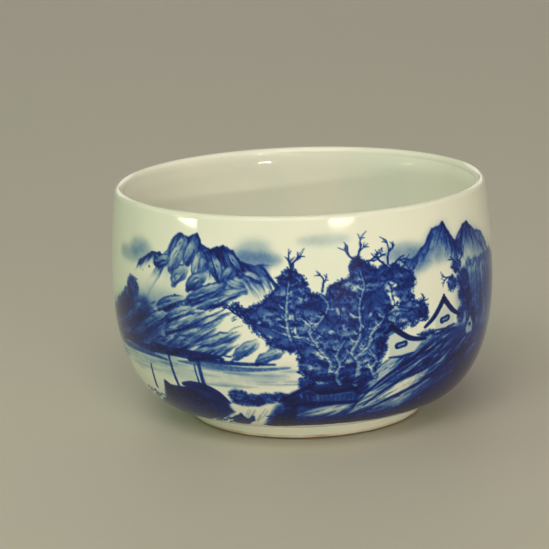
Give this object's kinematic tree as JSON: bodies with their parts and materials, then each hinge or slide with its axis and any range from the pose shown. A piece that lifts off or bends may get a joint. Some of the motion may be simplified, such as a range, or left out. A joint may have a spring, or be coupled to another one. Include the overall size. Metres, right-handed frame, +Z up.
{
  "type": "teacup",
  "caption": "Handleless porcelain teacup: full round belly, slightly closed rounded lip and a low turned foot ring, with separate glaze coats.",
  "frame": {"origin": "centre of the plane that the foot ring stands on", "axes": "+Z up along the cup's axis of revolution; X and Y are level, and -Y is the side with the old trees of the painting"},
  "size_m": [0.08, 0.08, 0.049],
  "materials": {
    "biscuit": "unglazed fired porcelain, matt",
    "outer_glaze": "clear faintly green gloss glaze over cobalt painting",
    "inner_glaze": "clear faintly green gloss glaze",
    "base_glaze": "clear faintly green gloss glaze"
  },
  "bodies": {
    "root": {"porcelain_bowl": "biscuit", "foot_ring": "biscuit", "outer_glaze": "outer_glaze", "inner_glaze": "inner_glaze", "base_glaze": "base_glaze"}
  },
  "joints": []
}
